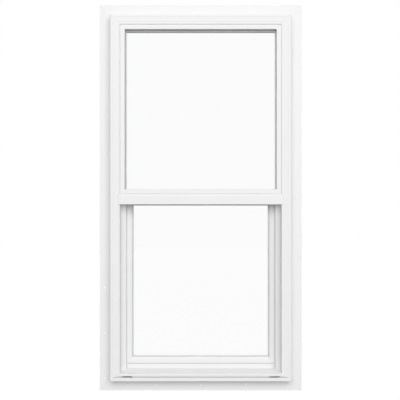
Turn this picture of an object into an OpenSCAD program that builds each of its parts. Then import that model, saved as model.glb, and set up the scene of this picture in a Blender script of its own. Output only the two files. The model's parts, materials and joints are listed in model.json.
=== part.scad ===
// Single-hung sash window in white vinyl with an integral nailing fin.
// Origin: centre of the window on the back plane of the fin.
// +X is right as seen from outside, -Y is outdoors, +Z is up. Millimetres.

/* [Frame] */
// Width of the frame, without the fin
frame_w = 597; // [440:1:1100]
// Height of the frame, without the fin
frame_h = 1206; // [1000:1:1800]
// Width of the frame's face seen from outside
face_w = 33; // [30:1:42]
// Depth of the frame in front of the fin's back face
front_d = 35; // [33:1:45]
// Depth of the frame behind the fin's back face
rear_d = 48; // [48:1:60]
// Thickness of the vinyl walls
wall = 2; // [1.6:0.1:2.4]
// Width of the nailing fin past the frame
fin_w = 37; // [25:1:45]
// Thickness of the nailing fin
fin_t = 2; // [1.2:0.1:3]
// Reach of the middle leg past the frame's face
leg_reach = 17; // [15.5:0.5:24]
// Reach of the indoor leg past the frame's face
stop_reach = 12; // [8:0.5:16]
// Height of the sill's outdoor face, up to its nose
sill_face = 26; // [24:1:28]
// How far the sill's nose stands out
nose_d = 3.5; // [2:0.5:6]

/* [Nail holes] */
// Diameter of the nail holes
nail_d = 4.2; // [3:0.1:6]
// Distance between nail holes
nail_pitch = 150; // [100:5:200]
// Distance from the frame to the nail hole line
nail_inset = 20; // [12:1:22]

/* [Weep slots] */
// Length of a weep slot
weep_len = 33; // [20:1:45]
// Height of a weep slot
weep_h = 3; // [2:0.5:4]
// Distance from the frame's side to a weep slot
weep_in = 40; // [36:1:80]

/* [Meeting rail] */
// Height of the rail's top above the middle of the window
rail_top = 12; // [-60:1:60]
// Height of the rail seen from outside
rail_h = 34; // [32:1:44]
// How far the rail's face stands out from the frame's face
rail_proud = 2; // [1:0.5:4]
// How far the rail's face laps onto each jamb
rail_lap = 4.5; // [0:0.5:8]

/* [Glass] */
// Thickness of a pane
pane_t = 3; // [2.5:0.5:4]
// Air space between two panes
air_t = 10; // [8:1:10]
// How far the glass reaches behind its bead
glass_bite = 8; // [7:0.5:10]
// Width of a bead of the upper glass
bead_w = 16; // [15:0.5:20]
// Thickness of the glazing tape
tape_t = 1.5; // [1:0.1:2]

/* [Sash] */
// Thickness of the sash
sash_t = 30; // [29:0.5:32]
// Width of the sash's stiles and top rail
stile_w = 32; // [30:1:44]
// Height of the sash's bottom rail
bottom_rail_h = 37; // [34:1:60]
// Gap between a stile and its jamb
side_gap = 4; // [3.5:0.1:4.5]
// Distance from the head down to the stops that end the sash's travel
stop_drop = 35; // [25:5:435]

/* [Balance] */
// Outer radius of the coiled spring
coil_r = 12.5; // [11:0.5:12.5]
// Width of the spring ribbon
ribbon_w = 12; // [8:1:12]
// Thickness of the spring ribbon
ribbon_t = 0.4; // [0.3:0.1:0.6]

/* [Lock] */
// Length of the lock's lever from its pivot
lever_len = 44; // [30:1:60]
// How far the cam reaches out from its pivot
cam_r = 18.7; // [18:0.1:18.9]

/* [Fits] */
// Gap around a piece that is pushed into a pocket
fit_gap = 0.2; // [0.1:0.05:0.4]
// Gap between a seal and what it brushes
seal_gap = 0.3; // [0.2:0.1:0.5]
// Radial clearance of a turning shaft
run_gap = 0.06; // [0.02:0.01:0.1]
// Radial clearance of a screw in its hole
screw_gap = 0.1; // [0.05:0.05:0.3]

/* [Hidden] */

// Facets that draw a full turn
$fn = 48;
// Steps that draw a rounded edge of a section
arc_steps = 6;
// Spare length of a cutting block, and its depth
spare = 5;
block_d = 400;
// How far a cut runs past what it cuts
cut = 1;

// Shapes of the frame's face: round corner, fine line, cove and inner lip
corner_r = 4;
line_in = 9;
line_w = 1.4;
line_d = 0.7;
line_slope = 0.2;
cove_in = 3;
cove_w = 6;
cove_d = 0.9;
lip_r = 1.5;
// Round tips of the legs, at the front and at the rear
tip_r = 1;
toe_r = 1.5;
// Groove that a glazing bead snaps into, from its near side to its far side
snap_0 = 0.6;
snap_1 = 2.4;
snap_d = 1.2;

// Depths of the planes that the glass and the sash lie in
leg_y0 = -fin_t;
leg_y1 = 9;
glass_y = leg_y0 - tape_t;
unit_t = 2 * pane_t + air_t;
gasket_t = 2;
bead_y = glass_y - unit_t - gasket_t;
bead_set_back = 1.7;
bead_d = front_d + bead_y - bead_set_back;
// Walls and corners of a bead
bead_skin = 1.4;
bead_r = 1.2;
bead_chamfer = 1.8;
// Width of the soft lip between the beads and the pane, and how much of it the beads cover
gasket_w = 5.4;
gasket_cover = 5;
sash_y0 = leg_y1 + 3;
sash_y1 = sash_y0 + sash_t;
// Indoor leg: its thickness and its front face
stop_t = 4;
stop_y = rear_d - stop_t;

// Balance pocket in each jamb, this much narrower than the sash at each face
pocket_in = 3;
pocket_y0 = sash_y0 + pocket_in;
pocket_y1 = sash_y1 - pocket_in;
pocket_mid = (pocket_y0 + pocket_y1) / 2;
groove_wall = 2.5;
// Wall behind the face, with its fine line and cove
face_wall = wall + 0.4;

// Sill: its front corner, its web, its steps and the seat of its nose
sill_r = 2;
sill_web_y = 22;
step_h = 0.6;
step_share = 0.6;
nose_seat = 8;
nose_r = 2.5;
nose_gap = 1.5;

// Openings that the frame leaves
bay_w = frame_w - 2 * face_w;
bay_top = frame_h / 2 - face_w;
leg_gap_w = bay_w - 2 * leg_reach;
sill_top = face_w;
track_drop = 2;
// Top of the weep slots, under the sill's nose
weep_top = -frame_h / 2 + sill_face - nose_seat - 1.5;

// Nail holes
nails_side = 2 * floor((frame_h / 2 + fin_w - nail_inset) / nail_pitch) + 1;
nails_end = 2 * floor(frame_w / 2 / nail_pitch) + 1;

// Setting blocks under a glass unit
block_len = 80;
block_h = 4;

// Upper glass unit
upper_w = bay_w - 2 * (bead_w - glass_bite);
upper_z0 = rail_top + block_h;
upper_z1 = bay_top - (bead_w - glass_bite);
upper_y = glass_y - unit_t;
upper_bead_mid = (rail_top + bay_top) / 2;
upper_bead_len = bay_top - rail_top;
// Glazing tape is this much narrower than the glass's bite
tape_in = 2;

// Sash
sash_w = bay_w - 2 * side_gap;
sash_z0 = -frame_h / 2 + sill_top;
sash_z1 = rail_top - 2;
sash_h = sash_z1 - sash_z0;
sash_mid = (sash_z0 + sash_z1) / 2;
lip_w = 12;
lip_flat = 6;
lip_step = 1.2;
lip_slope = 2;
lip_edge = 0.6;
stile_box = stile_w - lip_w;
bottom_box = bottom_rail_h - lip_w;
lip_t = 5;
lower_bead_set_back = 0.5;
lower_y0 = sash_y0 + lip_t + tape_t;
lower_bead_y = lower_y0 + unit_t;
lower_bead_d = sash_y1 - lower_bead_y - lower_bead_set_back;
lower_bead_w = lip_w;
lower_w = sash_w - 2 * (stile_w - glass_bite);
lower_z0 = sash_z0 + bottom_rail_h - glass_bite;
lower_z1 = sash_z1 - (stile_w - glass_bite);

lower_bay_w = sash_w - 2 * stile_box;
lower_bay_z0 = sash_z0 + bottom_box;
lower_bay_z1 = sash_z1 - stile_box;
lower_bead_len = lower_bay_z1 - lower_bay_z0;
lower_bead_mid = (lower_bay_z0 + lower_bay_z1) / 2;
// Web across a stile's chamber, and the depth of the bottom rail's chamber floor
web_t = 1.6;
bottom_floor = 4.4;
// Line along the bottom rail's face
rail_line_in = 15.5;
rail_line_w = 1;
rail_line_d = 0.8;
// Finger lift
lift_end_gap = 80;
lift_root = 8;
lift_in = bottom_box - lift_root - 2;
lift_lip = 12.5;
lift_t = 2;

// Grooves for the pile strips in a stile
pile_x0 = 3.5;
pile_x1 = 10;
pile_deep = 2.4;
pile_shoulder = 1.4;
// Groove for the bulb seal under the bottom rail
bulb_y0 = 23;
bulb_y1 = 31;

// Interlock between the meeting rail and the sash
hook_y0 = 5.6;
hook_t = 1.8;
hook_drop = 18;
catch_in = 8;
catch_h = 15;
catch_y1 = sash_y0 - 1.6;
catch_w = leg_gap_w - 3;
hook_w = leg_gap_w - 6;

// Spacer bar and sealant in a glass unit
seal_w = 4;
bar_w = 8;
bar_wall = 0.8;

// Aluminium and steel tubes inside the rails
tube_t = 1.4;
tube_end = 10;

// Stops that end the sash's travel, and how far it slides up to them
stop_h = 24;
stop_in = 2;
stop_side = 7;
stop_deep = 10;
stop_gap = 1;
stop_z = bay_top - stop_drop - stop_h;
sash_travel = stop_z - stop_gap - sash_z1;

// Balance
bracket_t = 1.7;
bracket_h = 30;
bracket_w = 23;
bracket_z = sash_z0 + 4;
bracket_screw_y = 9;
bracket_screw_z = 19;
foot_z = bracket_z + 9;
foot_t = 3;
foot_past = 2.6;
cart_h = 34;
cart_z = bracket_z + bracket_h + sash_travel + 22;
cart_screw_z = cart_z + cart_h - 4;
coil_z = cart_z + 16;
coil_side = 1.6;
coil_room = 0.8;
ribbon_x = sash_w / 2 + 3.3;
coil_x = ribbon_x + ribbon_t + seal_gap + coil_r;
coil_bore = 8.5;
cart_x0 = sash_w / 2 + 2;
cart_x1 = frame_w / 2 - wall - fit_gap;

// Keeper on the meeting rail: its body, its foot and the slot that takes the cam
keeper_y0 = leg_y0 + wall;
keeper_y1 = hook_y0 - 1;
keeper_w = 32;
keeper_foot_w = 60;
keeper_foot_t = 2;
keeper_low = 10;
keeper_up = 11;
keeper_slot_w = 25;
keeper_screw_x = 24;

// Lock
pivot_y = 20;
cam_z = sash_z1 + 3;
cam_t = 3;
base_h = 10;
base_y0 = sash_y0 + 1;
base_y1 = sash_y1 - 1;
spindle_r = 4;
tang_w = 5.6;
tang_h = 3.4;
lever_z = sash_z1 + base_h + 0.2;
lever_t = 3.4;
hub_t = 4;
hub_r = 8;
lever_end_r = 6;
base_w = 48;
ear_r = 11;
ear_down = 4;
spindle_seat = 1;
cam_tip = 17;
lock_screw_x = 27;
lock_screw_y = pivot_y + 7;
lock_head_r = 3.2;

// Screws
rail_screw_r = 1.6;
small_screw_r = 1.5;
rail_screw_y = -19;
rail_screw_in = 8;
rail_screw_bite = 20;
rail_boss = 3;
screw_tip_r = 0.3;
recess_w = 0.8;
// Shoulder of the meeting rail's rolled edge
roll_r = 6;
// Corner of a rail's face and of the sill's nose
face_r = 1;

vinyl = "white";
steel = "silver";

// ---------- shared shapes ----------

// Points on an arc, for the rounded edge of a section
function arc(cx, cy, r, from, to) =
    [for (i = [0:arc_steps])
        let (a = from + (to - from) * i / arc_steps) [cx + r * cos(a), cy + r * sin(a)]];

// Rectangle between two corners
module rect(x0, y0, x1, y1) {
    translate([x0, y0]) square([x1 - x0, y1 - y0]);
}

// Block between two corners
module block(a, b) {
    translate(a) cube(b - a);
}

// Keeps a length with a 45 degree mitre at both ends; past cap_lo or cap_hi the end is square
module mitre_block(len, near, far, cap_lo, cap_hi) {
    translate([0, block_d / 2, 0]) rotate([90, 0, 0]) linear_extrude(block_d)
        polygon([
            [near, len / 2 - near],
            [cap_hi, len / 2 - cap_hi],
            [far, len / 2 - cap_hi],
            [far, cap_lo - len / 2],
            [cap_lo, cap_lo - len / 2],
            [near, near - len / 2]
        ]);
}

// A mitred length of the section given as a child; the section's x runs inwards
module lineal(len, near, far, cap_lo = 0, cap_hi = 0) {
    intersection() {
        linear_extrude(len + 2 * abs(near) + 2 * spare, center = true) children();
        mitre_block(len, near, far, cap_lo > 0 ? cap_lo : far - 0.01, cap_hi > 0 ? cap_hi : far - 0.01);
    }
}

// A plain length with square ends
module bar(len) {
    linear_extrude(len, center = true) children();
}

// Places that turn a length to the left, right, top or bottom of an opening
module at_left(half_w, z) {
    translate([-half_w, 0, z]) children();
}

module at_right(half_w, z) {
    mirror([1, 0, 0]) at_left(half_w, z) children();
}

module at_top(z) {
    translate([0, 0, z]) rotate([0, 90, 0]) children();
}

module at_bottom(z) {
    translate([0, 0, z]) rotate([0, -90, 0]) children();
}

// Both sides of the window
module both_sides() {
    children();
    mirror([1, 0, 0]) children();
}

// A flat ring in the plane of the window, from depth y0 to y1
module ring(w, z0, z1, band, y0, y1) {
    difference() {
        block([-w / 2, y0, z0], [w / 2, y1, z1]);
        block([-w / 2 + band, y0 - cut, z0 + band], [w / 2 - band, y1 + cut, z1 - band]);
    }
}

// A round bar along X from x0 to x1
module rod_x(x0, x1, r) {
    translate([x0, 0, 0]) rotate([0, 90, 0]) cylinder(h = x1 - x0, r = r);
}

// A round bar along Y from y0 to y1
module rod_y(y0, y1, r) {
    translate([0, y1, 0]) rotate([90, 0, 0]) cylinder(h = y1 - y0, r = r);
}

// A pan-head screw down -Z with its head's underside at z = 0, and a cross recess
module pan_screw(len, r, head_r, head_h) {
    difference() {
        union() {
            translate([0, 0, -len + r]) cylinder(h = len - r, r = r);
            translate([0, 0, -len]) cylinder(h = r, r1 = screw_tip_r, r2 = r);
            cylinder(h = head_h * 0.6, r = head_r);
            translate([0, 0, head_h * 0.6]) cylinder(h = head_h * 0.4, r1 = head_r, r2 = head_r * 0.7);
        }
        for (turn = [0, 90])
            rotate([0, 0, turn]) translate([-head_r / 2, -recess_w / 2, head_h * 0.4])
                cube([head_r, recess_w, head_h]);
    }
}

// ---------- frame ----------

// Round end of the indoor leg
function stop_tip() = concat(
    arc(face_w + stop_reach - tip_r, stop_y + tip_r, tip_r, 270, 360),
    arc(face_w + stop_reach - toe_r, rear_d - toe_r, toe_r, 0, 90));

// Outline of the head and jambs; x runs inwards from the frame's side, y is depth
module frame_outline() {
    polygon(concat(
        [[-fin_w, 0], [-fin_w, -fin_t], [0, -fin_t]],
        arc(corner_r, corner_r - front_d, corner_r, 180, 270),
        [
            [line_in, -front_d], [line_in + line_slope, line_d - front_d],
            [line_in + line_w - line_slope, line_d - front_d], [line_in + line_w, -front_d]
        ],
        [for (i = [0:arc_steps])
            [
                face_w - cove_in - cove_w * (1 - i / arc_steps),
                cove_d * sin(180 * i / arc_steps) - front_d
            ]],
        arc(face_w - lip_r, lip_r - front_d, lip_r, 270, 360),
        [
            [face_w, bead_y - snap_1], [face_w - snap_d, bead_y - snap_1],
            [face_w - snap_d, bead_y - snap_0], [face_w, bead_y - snap_0],
            [face_w, leg_y0]
        ],
        arc(face_w + leg_reach - tip_r, leg_y0 + tip_r, tip_r, 270, 360),
        arc(face_w + leg_reach - tip_r, leg_y1 - tip_r, tip_r, 0, 90),
        [
            [face_w, leg_y1], [face_w, pocket_y0], [wall, pocket_y0],
            [wall, pocket_y1], [face_w, pocket_y1], [face_w, stop_y]
        ],
        stop_tip(),
        [[0, rear_d], [0, 0]]
    ));
}

// Section of the head and jambs with its chambers
module frame_section() {
    difference() {
        frame_outline();
        rect(wall, face_wall - front_d, (face_w - wall) / 2, -fin_t);
        rect((face_w + wall) / 2, face_wall - front_d, face_w - groove_wall, -fin_t);
        rect(wall, 0, face_w - wall, pocket_y0 - wall);
        rect(face_w, leg_y0 + wall, face_w + leg_reach - wall, leg_y1 - wall);
        rect(wall, pocket_y1 + wall, face_w - wall, rear_d - wall);
    }
}

// Outline of the sill: nose, stepped slope, sash track and indoor dam
module sill_outline() {
    rise = (sill_top - sill_face) / 3;
    run = (leg_y1 + front_d) / 3;
    polygon(concat(
        [[-fin_w, 0], [-fin_w, -fin_t], [0, -fin_t]],
        arc(sill_r, sill_r - front_d, sill_r, 180, 270),
        [[sill_face - nose_seat, -front_d]],
        [for (i = [0:2])
            each [
                [sill_face + rise * i, run * i - front_d + (i == 0 ? 0 : step_h)],
                [sill_face + rise * (i + step_share), run * (i + 1) - front_d]
            ]],
        [
            [sill_top, leg_y1 + step_h], [sill_top, sash_y0 - 1],
            [sill_top - track_drop, sash_y0 - 0.5], [sill_top - track_drop, stop_y]
        ],
        stop_tip(),
        [[0, rear_d], [0, 0]]
    ));
}

// Section of the sill with its chambers
module sill_section() {
    difference() {
        sill_outline();
        polygon([
            [wall, wall - front_d], [sill_face - wall, wall - front_d],
            [sill_face + 1 - wall, -fin_t], [wall, -fin_t]
        ]);
        polygon([
            [wall, 0], [sill_face + 2 - wall, 0], [sill_top - track_drop - wall, leg_y1],
            [sill_top - track_drop - wall, sill_web_y], [wall, sill_web_y]
        ]);
        rect(wall, sill_web_y + wall, sill_top - track_drop - wall, rear_d - wall);
    }
}

// The sill's projecting nose, rounded along its front
module nose_section() {
    polygon(concat(
        [[sill_face - nose_seat, -front_d]],
        arc(sill_face - nose_seat + face_r, face_r - front_d - nose_d, face_r, 180, 270),
        arc(sill_face - nose_r, nose_r - front_d - nose_d, nose_r, 270, 360),
        [[sill_face, -front_d]]
    ));
}

// Nail holes along a fin; the line runs along Z at x = nail_inset outside the frame
module nail_line(count) {
    for (i = [0:count - 1])
        translate([-nail_inset, 0, (i - (count - 1) / 2) * nail_pitch])
            rod_y(-fin_t - cut, cut, nail_d / 2);
}

// Holes through a left jamb for the meeting rail's screws
module rail_screw_places() {
    for (z = [rail_top - rail_screw_in, rail_top - rail_h + rail_screw_in])
        translate([0, rail_screw_y, z]) children();
}

module frame_head() {
    color(vinyl) at_top(frame_h / 2) difference() {
        lineal(frame_w, -fin_w, face_w + leg_reach + cut) frame_section();
        nail_line(nails_end);
    }
}

module frame_sill() {
    color(vinyl) difference() {
        union() {
            at_bottom(-frame_h / 2) difference() {
                lineal(frame_w, -fin_w, face_w + leg_reach, sill_face, sill_face) sill_section();
                nail_line(nails_end);
            }
            at_bottom(-frame_h / 2) bar(frame_w - 2 * (sill_face - nose_gap)) nose_section();
        }
        both_sides() block(
            [frame_w / 2 - weep_in - weep_len, -front_d - cut, weep_top - weep_h],
            [frame_w / 2 - weep_in, wall + cut - front_d, weep_top]);
    }
}

// A left jamb: mitred into the head, and mitred and coped onto the sill
module jamb() {
    difference() {
        at_left(frame_w / 2, 0) difference() {
            lineal(frame_h, -fin_w, face_w + leg_reach + cut, sill_face) frame_section();
            nail_line(nails_side);
        }
        at_bottom(-frame_h / 2) bar(frame_w - 2 * sill_face) sill_outline();
        rail_screw_places() rod_x(-frame_w / 2 - cut, -bay_w / 2 + cut, rail_screw_r + screw_gap);
        translate([0, pocket_mid, cart_screw_z])
            rod_x(-frame_w / 2 - cut, -frame_w / 2 + wall + cut, small_screw_r + screw_gap);
    }
}

module frame_jamb_left() {
    color(vinyl) jamb();
}

module frame_jamb_right() {
    color(vinyl) mirror([1, 0, 0]) jamb();
}

// ---------- meeting rail ----------

// Face of the rail, rolled back at its top edge; x runs up from the rail's bottom, y is depth
module rail_face_section() {
    top = rail_h - 1.5;
    front = -front_d - rail_proud;
    polygon(concat(
        [[0, -front_d]],
        arc(face_r, front + face_r, face_r, 180, 270),
        [for (i = [0:arc_steps])
            let (a = 90 * i / arc_steps)
                [top - roll_r * (1 - sin(a)), front + rail_proud * (1 - cos(a))]]
    ));
}

module rail_box_section() {
    difference() {
        rect(0, -front_d, rail_h, leg_y0);
        rect(wall, wall - front_d, rail_h - wall, rail_screw_y - rail_boss);
        rect(wall, rail_screw_y + rail_boss, rail_h - wall, leg_y0 + cut);
        rect(rail_h - snap_d, bead_y - snap_1, rail_h + cut, bead_y - snap_0);
    }
}

// Back plate that stops the glass, with the catch that the sash hooks into
module rail_back_section() {
    rect(0, leg_y0, rail_h + bead_w - 3, leg_y0 + wall);
}

module rail_catch_section() {
    polygon([
        [catch_in, leg_y0 + wall], [catch_in, catch_y1],
        [catch_in + catch_h, catch_y1], [catch_in + catch_h, catch_y1 - hook_t],
        [catch_in + hook_t, catch_y1 - hook_t], [catch_in + hook_t, leg_y0 + wall]
    ]);
}

module meeting_rail() {
    z = rail_top - rail_h;
    color(vinyl) difference() {
        union() {
            at_bottom(z) bar(bay_w + 2 * rail_lap) rail_face_section();
            at_bottom(z) bar(bay_w - 2 * fit_gap) rail_box_section();
            at_bottom(z) bar(leg_gap_w - 2 * fit_gap) rail_back_section();
            at_bottom(z) bar(catch_w) rail_catch_section();
        }
        both_sides() rail_screw_places()
            rod_x(-bay_w / 2 - cut, -bay_w / 2 + rail_screw_bite + 2, rail_screw_r + screw_gap);
        keeper_screw_places() rod_y(leg_y0 - cut, leg_y0 + wall + cut, small_screw_r + screw_gap);
    }
}

// Aluminium tube in the rail's rear chamber
module meeting_rail_stiffener() {
    y0 = rail_screw_y + rail_boss + fit_gap;
    y1 = leg_y0 - fit_gap;
    z0 = rail_top - rail_h + wall + fit_gap;
    z1 = rail_top - wall - fit_gap;
    color(steel) difference() {
        block([-leg_gap_w / 2 + tube_end, y0, z0], [leg_gap_w / 2 - tube_end, y1, z1]);
        block([-leg_gap_w / 2, y0 + tube_t, z0 + tube_t], [leg_gap_w / 2, y1 - tube_t, z1 - tube_t]);
        keeper_screw_places() rod_y(y1 - tube_t - cut, y1 + cut, small_screw_r + screw_gap);
    }
}

module meeting_rail_screws() {
    color(steel) both_sides() rail_screw_places()
        translate([-frame_w / 2, 0, 0]) rotate([0, -90, 0])
            pan_screw(face_w + rail_screw_bite, rail_screw_r, 4, 2.2);
}

// Strip of pile on the catch that brushes the sash
module meeting_rail_pile() {
    z = rail_top - rail_h;
    color("gray") block(
        [-catch_w / 2, catch_y1, z + catch_in + 3], [catch_w / 2, sash_y0 - seal_gap, z + catch_in + 9]);
}

// ---------- keeper ----------

module keeper_screw_places() {
    for (x = [-keeper_screw_x, keeper_screw_x])
        translate([x, 0, sash_z1 - keeper_low / 2]) children();
}

module lock_keeper() {
    color("white") difference() {
        union() {
            block([-keeper_w / 2, keeper_y0, sash_z1 - keeper_low],
                [keeper_w / 2, keeper_y1, sash_z1 + keeper_up]);
            block([-keeper_foot_w / 2, keeper_y0, sash_z1 - keeper_low],
                [keeper_foot_w / 2, keeper_y0 + keeper_foot_t, sash_z1]);
        }
        block([-keeper_slot_w / 2, keeper_y0 + 0.8, cam_z - 0.6],
            [keeper_slot_w / 2, keeper_y1 + cut, cam_z + cam_t + 0.8]);
        keeper_screw_places() rod_y(keeper_y0 - cut, keeper_y1 + cut, small_screw_r + screw_gap);
    }
}

module keeper_screws() {
    color(steel) keeper_screw_places()
        translate([0, keeper_y0 + keeper_foot_t, 0]) rotate([-90, 0, 0])
            pan_screw(9, small_screw_r, 2.8, 1.6);
}

// ---------- upper glass ----------

// Hollow snap-in bead; x runs inwards from the pocket wall, y runs out from the glass
module bead_section(w, d) {
    skin = bead_skin;
    difference() {
        polygon(concat(
            [[0, 0], [w, 0]],
            arc(w - bead_r, d - bead_r, bead_r, 0, 90),
            [
                [bead_chamfer, d], [0, d - bead_chamfer],
                [0, snap_1 - fit_gap], [fit_gap - snap_d, snap_1 - fit_gap],
                [fit_gap - snap_d, snap_0 + fit_gap], [0, snap_0 + fit_gap]
            ]
        ));
        polygon([
            [skin, skin], [w - skin, skin], [w - skin, d - skin],
            [skin + 1, d - skin], [skin, d - skin - 1]
        ]);
    }
}

// One mitred bead of the upper glass, in place on its side of the opening
module upper_bead(len) {
    lineal(len, -2 * snap_d, bead_w + cut) translate([0, bead_y]) mirror([0, 1]) bead_section(bead_w, bead_d);
}

module upper_bead_top() {
    color(vinyl) at_top(bay_top) upper_bead(bay_w);
}

module upper_bead_bottom() {
    color(vinyl) at_bottom(rail_top) upper_bead(bay_w);
}

module upper_bead_left() {
    color(vinyl) at_left(bay_w / 2, upper_bead_mid) upper_bead(upper_bead_len);
}

module upper_bead_right() {
    color(vinyl) at_right(bay_w / 2, upper_bead_mid) upper_bead(upper_bead_len);
}

// Parts of one sealed glass unit, given its width, bottom, top and outdoor face
module unit_pane(w, z0, z1, y) {
    color("lightcyan", 0.4) block([-w / 2, y, z0], [w / 2, y + pane_t, z1]);
}

module unit_spacer(w, z0, z1, y) {
    inner = w - 2 * seal_w;
    color(steel) difference() {
        ring(inner, z0 + seal_w, z1 - seal_w, bar_w, y + pane_t, y + pane_t + air_t);
        ring(inner - 2 * bar_wall, z0 + seal_w + bar_wall, z1 - seal_w - bar_wall,
            bar_w - 2 * bar_wall, y + pane_t + bar_wall, y + pane_t + air_t - bar_wall);
    }
}

module unit_sealant(w, z0, z1, y) {
    color("dimgray") ring(w, z0, z1, seal_w, y + pane_t, y + pane_t + air_t);
}

module setting_blocks(w, z0, z1, y) {
    for (x = [-w / 4, w / 4])
        block([x - block_len / 2, y, z0], [x + block_len / 2, y + unit_t, z1]);
}

module upper_outer_pane() {
    unit_pane(upper_w, upper_z0, upper_z1, upper_y);
}

module upper_inner_pane() {
    unit_pane(upper_w, upper_z0, upper_z1, glass_y - pane_t);
}

module upper_spacer() {
    unit_spacer(upper_w, upper_z0, upper_z1, upper_y);
}

module upper_edge_sealant() {
    unit_sealant(upper_w, upper_z0, upper_z1, upper_y);
}

module upper_glazing_tape() {
    color("gray") ring(upper_w, upper_z0, upper_z1, glass_bite - tape_in, glass_y, leg_y0);
}

// Soft lip between the beads and the outdoor pane
module upper_bead_gasket() {
    color("dimgray") ring(bay_w - 2 * (bead_w - gasket_cover), rail_top + bead_w - gasket_cover,
        bay_top - bead_w + gasket_cover, gasket_w, bead_y, upper_y);
}

module upper_setting_blocks() {
    color("black") setting_blocks(upper_w, rail_top, upper_z0, upper_y);
}

// ---------- sash ----------

// Lip on the outdoor side of the sash: a flat band, a step and a slope down to the glass
module lip_section(box) {
    polygon([
        [box, sash_y0], [box + lip_flat, sash_y0], [box + lip_flat, sash_y0 + lip_step],
        [box + lip_w - lip_edge, sash_y0 + lip_step + lip_slope],
        [box + lip_w, sash_y0 + lip_step + lip_slope + lip_edge],
        [box + lip_w, sash_y0 + lip_t], [box, sash_y0 + lip_t]
    ]);
}

// Box of the sash: x runs inwards from the sash's edge
module box_section(box, deep) {
    difference() {
        rect(0, sash_y0, box, sash_y1);
        rect(deep, sash_y0 + wall, box - groove_wall, sash_y1 - wall);
        rect(box - snap_d, lower_bead_y + snap_0, box + cut, lower_bead_y + snap_1);
    }
}

// Stile: a box with two chambers, grooves for the pile strips at the front and rear, and the lip
module stile_section() {
    middle = (sash_y0 + sash_y1) / 2;
    difference() {
        union() {
            rect(0, sash_y0, stile_box, sash_y1);
            lip_section(stile_box);
        }
        rect(wall, sash_y0 + pile_deep + wall, stile_box - groove_wall, middle - web_t / 2);
        rect(wall, middle + web_t / 2, stile_box - groove_wall, sash_y1 - pile_deep - wall);
        rect(pile_x0, sash_y0 - cut, pile_x1, sash_y0 + pile_deep);
        rect(pile_x0, sash_y1 - pile_deep, pile_x1, sash_y1 + cut);
        rect(stile_box - snap_d, lower_bead_y + snap_0, stile_box + cut, lower_bead_y + snap_1);
    }
}

module bottom_rail_section() {
    difference() {
        union() {
            box_section(bottom_box, bottom_floor);
            lip_section(bottom_box);
        }
        rect(rail_line_in, sash_y0 - cut, rail_line_in + rail_line_w, sash_y0 + rail_line_d);
        rect(-cut, bulb_y0, pile_deep, bulb_y1);
    }
}

// A finger lift along the indoor face of the bottom rail
module lift_section() {
    low = (lift_root - lift_t) / 2 - 0.5;
    translate([lift_in, sash_y1]) polygon([
        [0, 0], [lift_root, 0], [lift_root, 1], [low + lift_t, 3],
        [low + lift_t, lift_lip - 2.5], [low + lift_t + 1.5, lift_lip - 1], [low + lift_t + 0.5, lift_lip],
        [low, lift_lip - 1.5], [low, 3], [0, 1]
    ]);
}

module top_rail_section() {
    box_section(stile_box, wall);
    lip_section(stile_box);
}

// Hook along the top rail that drops behind the meeting rail's catch
module hook_section() {
    polygon([
        [0, sash_y0], [0, hook_y0], [hook_drop, hook_y0], [hook_drop, hook_y0 + hook_t],
        [hook_t, hook_y0 + hook_t], [hook_t, sash_y0]
    ]);
}

module lock_screw_places() {
    for (x = [-lock_screw_x, lock_screw_x])
        translate([x, lock_screw_y, 0]) children();
}

module sash_top_rail() {
    color(vinyl) difference() {
        union() {
            at_top(sash_z1) lineal(sash_w, 0, stile_w + cut) top_rail_section();
            at_top(sash_z1) bar(hook_w) hook_section();
        }
        lock_screw_places() translate([0, 0, sash_z1 - wall - cut])
            cylinder(h = wall + 2 * cut, r = small_screw_r + screw_gap);
    }
}

module sash_bottom_rail() {
    color(vinyl) {
        at_bottom(sash_z0) lineal(sash_w, 0, bottom_rail_h + cut, stile_w, stile_w) bottom_rail_section();
        at_bottom(sash_z0) bar(sash_w - 2 * lift_end_gap) lift_section();
    }
}

// Screws that hold a left balance bracket to its stile
module bracket_screw_places() {
    for (y = [pocket_mid - bracket_screw_y, pocket_mid + bracket_screw_y])
        translate([0, y, bracket_z + bracket_screw_z]) children();
}

module stile() {
    difference() {
        at_left(sash_w / 2, sash_mid) lineal(sash_h, 0, stile_w + cut) stile_section();
        bracket_screw_places() rod_x(-sash_w / 2 - cut, -sash_w / 2 + wall + cut, small_screw_r + screw_gap);
    }
}

module sash_stile_left() {
    color(vinyl) stile();
}

module sash_stile_right() {
    color(vinyl) mirror([1, 0, 0]) stile();
}

// Steel tube in the top rail, which the lock's screws bite into
module check_rail_stiffener() {
    y0 = sash_y0 + wall + fit_gap;
    y1 = sash_y1 - wall - fit_gap;
    z0 = sash_z1 - stile_box + groove_wall + fit_gap;
    z1 = sash_z1 - wall - fit_gap;
    color(steel) difference() {
        block([-sash_w / 2 + stile_w, y0, z0], [sash_w / 2 - stile_w, y1, z1]);
        block([-sash_w / 2, y0 + tube_t, z0 + tube_t], [sash_w / 2, y1 - tube_t, z1 - tube_t]);
        lock_screw_places() translate([0, 0, z1 - tube_t - cut])
            cylinder(h = tube_t + 2 * cut, r = small_screw_r + screw_gap);
    }
}

// ---------- lower glass ----------

module lower_outer_pane() {
    unit_pane(lower_w, lower_z0, lower_z1, lower_y0);
}

module lower_inner_pane() {
    unit_pane(lower_w, lower_z0, lower_z1, lower_bead_y - pane_t);
}

module lower_spacer() {
    unit_spacer(lower_w, lower_z0, lower_z1, lower_y0);
}

module lower_edge_sealant() {
    unit_sealant(lower_w, lower_z0, lower_z1, lower_y0);
}

module lower_glazing_tape() {
    color("gray") ring(lower_w, lower_z0, lower_z1, glass_bite - tape_in, lower_y0 - tape_t, lower_y0);
}

module lower_setting_blocks() {
    color("black") setting_blocks(lower_w, sash_z0 + bottom_box, lower_z0, lower_y0);
}

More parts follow.
